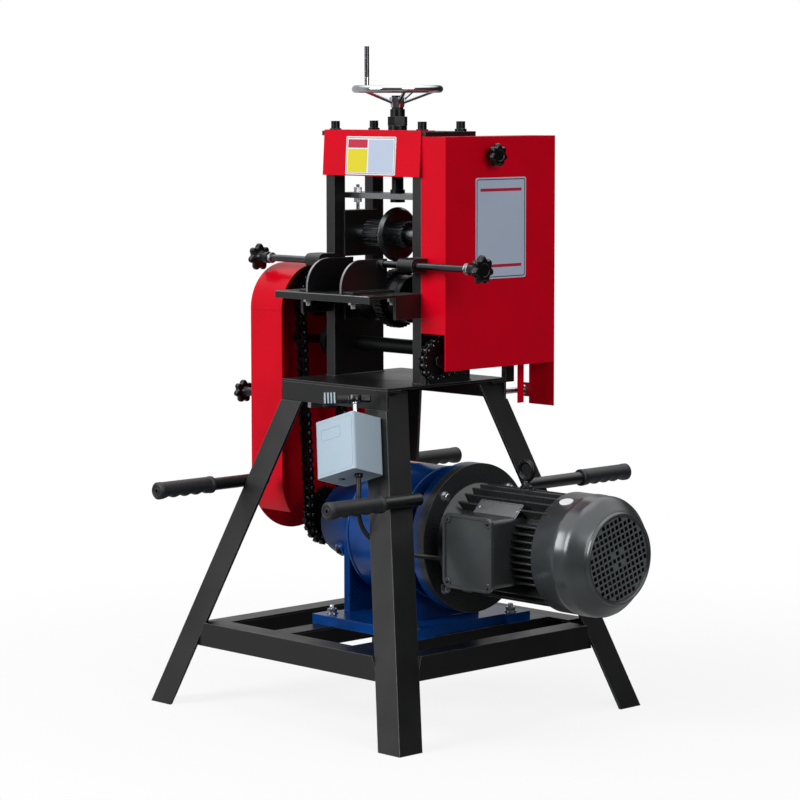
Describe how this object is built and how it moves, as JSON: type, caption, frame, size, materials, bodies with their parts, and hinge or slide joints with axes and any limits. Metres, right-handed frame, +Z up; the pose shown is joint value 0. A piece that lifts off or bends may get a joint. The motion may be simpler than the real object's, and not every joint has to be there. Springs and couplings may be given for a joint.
{
  "type": "cable stripping machine",
  "caption": "Motor-driven cable stripping machine on a splayed stand: chained rollers grip and slit cable led in by guide plates, and a handwheel sets the roller pressure.",
  "frame": {"origin": "on the floor, below the centre of the whole machine's bounding box", "axes": "+Z up, +X along the roller shafts towards the motor's fan, +Y the feed direction, away from the guides where the cable goes in"},
  "size_m": [0.8084, 0.748, 1.1193],
  "materials": {
    "red_paint": "gloss sprayed enamel",
    "black_paint": "satin sprayed paint",
    "black_steel": "blackened hardened steel",
    "ground_steel": "ground",
    "zinc": "zinc plated",
    "chrome": "polished",
    "blue_paint": "gloss cast-iron enamel",
    "grey_paint": "satin cast enamel",
    "grey_plastic": "satin moulded",
    "pale_plastic": "satin moulded",
    "black_plastic": "moulded phenolic",
    "rubber": "matt moulded",
    "cable": "matt sheath",
    "plate": "printed sheet, bare of words"
  },
  "bodies": {
    "root": {"table_top": "black_paint", "table_aprons": "black_paint", "legs": "black_paint", "base_rails": "black_paint", "carry_bars": "black_paint", "carry_grips": "rubber", "side_frame_left": "black_paint", "side_frame_right": "black_paint", "top_plate": "black_paint", "top_screws": "black_steel", "press_nut": "black_steel", "tie_shaft": "black_steel", "front_hood": "red_paint", "blank_plates": "plate", "lower_bearing_blocks": "black_paint", "feed_plate": "black_paint", "roller_chain": "black_steel", "main_chain": "black_steel", "idler_brackets": "black_paint", "right_cover": "red_paint", "left_cover": "red_paint", "cover_studs": "zinc", "gearbox_housing": "blue_paint", "drive_bolts": "zinc", "motor_flange": "grey_paint", "motor_body": "grey_paint", "fan_cover": "grey_paint", "terminal_box": "grey_plastic", "terminal_lid": "grey_plastic", "cable_glands": "black_plastic", "switch_case": "pale_plastic", "motor_cable": "cable"},
    "lower_roller": {"lower_shaft": "ground_steel", "lower_rollers": "black_steel", "lower_chain_sprocket": "black_steel", "lower_drive_sprocket": "black_steel"},
    "upper_roller": {"upper_shaft": "ground_steel", "knurled_rollers": "black_steel", "slitting_disc": "ground_steel", "upper_chain_sprocket": "black_steel"},
    "crosshead_set": {"crosshead": "black_steel", "crosshead_studs": "zinc", "upper_bearing_blocks": "black_paint"},
    "press_screw_set": {"press_screw": "chrome", "handwheel": "chrome"},
    "crank_grip": {"crank_sleeve": "chrome"},
    "left_guide": {"guide_left": "black_steel"},
    "right_guide": {"guide_right": "black_steel"},
    "left_guide_screw": {"guide_rod_left": "ground_steel", "guide_knob_left": "black_plastic"},
    "right_guide_screw": {"guide_rod_right": "ground_steel", "guide_knob_right": "black_plastic"},
    "front_idler_wheel": {"front_idler": "black_steel"},
    "rear_idler_wheel": {"rear_idler": "black_steel"},
    "gearbox_output": {"output_shaft": "ground_steel", "driving_sprocket": "black_steel"},
    "fan": {"motor_fan": "grey_plastic"},
    "lever": {"switch_lever": "black_plastic"},
    "right_cover_knob": {"cover_knob_right": "black_plastic"},
    "left_cover_knob": {"cover_knob_left": "black_plastic"}
  },
  "joints": [
    {"name": "lower_roller_spin", "type": "hinge", "parent": "root", "child": "lower_roller", "pos_m": [-0.09285, 0.002, 0.695], "axis": [1, 0, 0], "continuous": true},
    {"name": "upper_roller_spin", "type": "hinge", "parent": "crosshead_set", "child": "upper_roller", "pos_m": [-0.09285, 0.002, 0.803], "axis": [1, 0, 0], "continuous": true},
    {"name": "gearbox_output_spin", "type": "hinge", "parent": "root", "child": "gearbox_output", "pos_m": [-0.24285, 0.014, 0.303], "axis": [1, 0, 0], "continuous": true},
    {"name": "motor_fan_spin", "type": "hinge", "parent": "root", "child": "fan", "pos_m": [0.32515, 0.014, 0.303], "axis": [1, 0, 0], "continuous": true},
    {"name": "front_idler_spin", "type": "hinge", "parent": "root", "child": "front_idler_wheel", "pos_m": [0.04415, -0.043, 0.6], "axis": [1, 0, 0], "continuous": true},
    {"name": "rear_idler_spin", "type": "hinge", "parent": "root", "child": "rear_idler_wheel", "pos_m": [0.04415, 0.144, 0.64], "axis": [1, 0, 0], "continuous": true},
    {"name": "crosshead_slide", "type": "slide", "parent": "root", "child": "crosshead_set", "axis": [0, 0, 1], "range_m": [-0.0025, 0.038], "deforming": ["roller_chain"]},
    {"name": "press_screw_turn", "type": "hinge", "parent": "crosshead_set", "child": "press_screw_set", "pos_m": [-0.09285, 0.002, 0.868], "axis": [0, 0, 1], "range_deg": [-360.5, 5472.5]},
    {"name": "crank_grip_spin", "type": "hinge", "parent": "press_screw_set", "child": "crank_grip", "pos_m": [-0.16322, -0.0023, 1.09], "axis": [0, 0, 1], "continuous": true},
    {"name": "left_guide_slide", "type": "slide", "parent": "root", "child": "left_guide", "axis": [1, 0, 0], "range_m": [-0.038, 0.018]},
    {"name": "right_guide_slide", "type": "slide", "parent": "root", "child": "right_guide", "axis": [1, 0, 0], "range_m": [-0.018, 0.038]},
    {"name": "left_guide_screw_turn", "type": "hinge", "parent": "left_guide", "child": "left_guide_screw", "pos_m": [-0.21285, -0.081, 0.758], "axis": [1, 0, 0], "range_deg": [-7817.64, 3703.36]},
    {"name": "right_guide_screw_turn", "type": "hinge", "parent": "right_guide", "child": "right_guide_screw", "pos_m": [0.02715, -0.081, 0.758], "axis": [1, 0, 0], "range_deg": [-3703.36, 7817.64]},
    {"name": "switch_lever_turn", "type": "hinge", "parent": "root", "child": "lever", "pos_m": [0.00368, -0.18698, 0.51278], "axis": [-0.3136, 0.2505, 0.9159], "range_deg": [0, 90]},
    {"name": "right_cover_knob_spin", "type": "hinge", "parent": "root", "child": "right_cover_knob", "pos_m": [0.08715, 0.047, 0.938], "axis": [1, 0, 0], "continuous": true},
    {"name": "left_cover_knob_spin", "type": "hinge", "parent": "root", "child": "left_cover_knob", "pos_m": [-0.36285, -0.08, 0.521], "axis": [1, 0, 0], "continuous": true}
  ],
  "couplings": [
    {"joint": "upper_roller_spin", "follows": "lower_roller_spin", "ratio": -1},
    {"joint": "gearbox_output_spin", "follows": "lower_roller_spin", "ratio": 1.2667},
    {"joint": "motor_fan_spin", "follows": "lower_roller_spin", "ratio": -29.133},
    {"joint": "front_idler_spin", "follows": "lower_roller_spin", "ratio": -1.1429},
    {"joint": "rear_idler_spin", "follows": "lower_roller_spin", "ratio": -1.1429},
    {"joint": "press_screw_turn", "follows": "crosshead_slide", "rad_per_m": 2513.3},
    {"joint": "left_guide_screw_turn", "follows": "left_guide_slide", "rad_per_m": 3590.4},
    {"joint": "right_guide_screw_turn", "follows": "right_guide_slide", "rad_per_m": 3590.4}
  ]
}
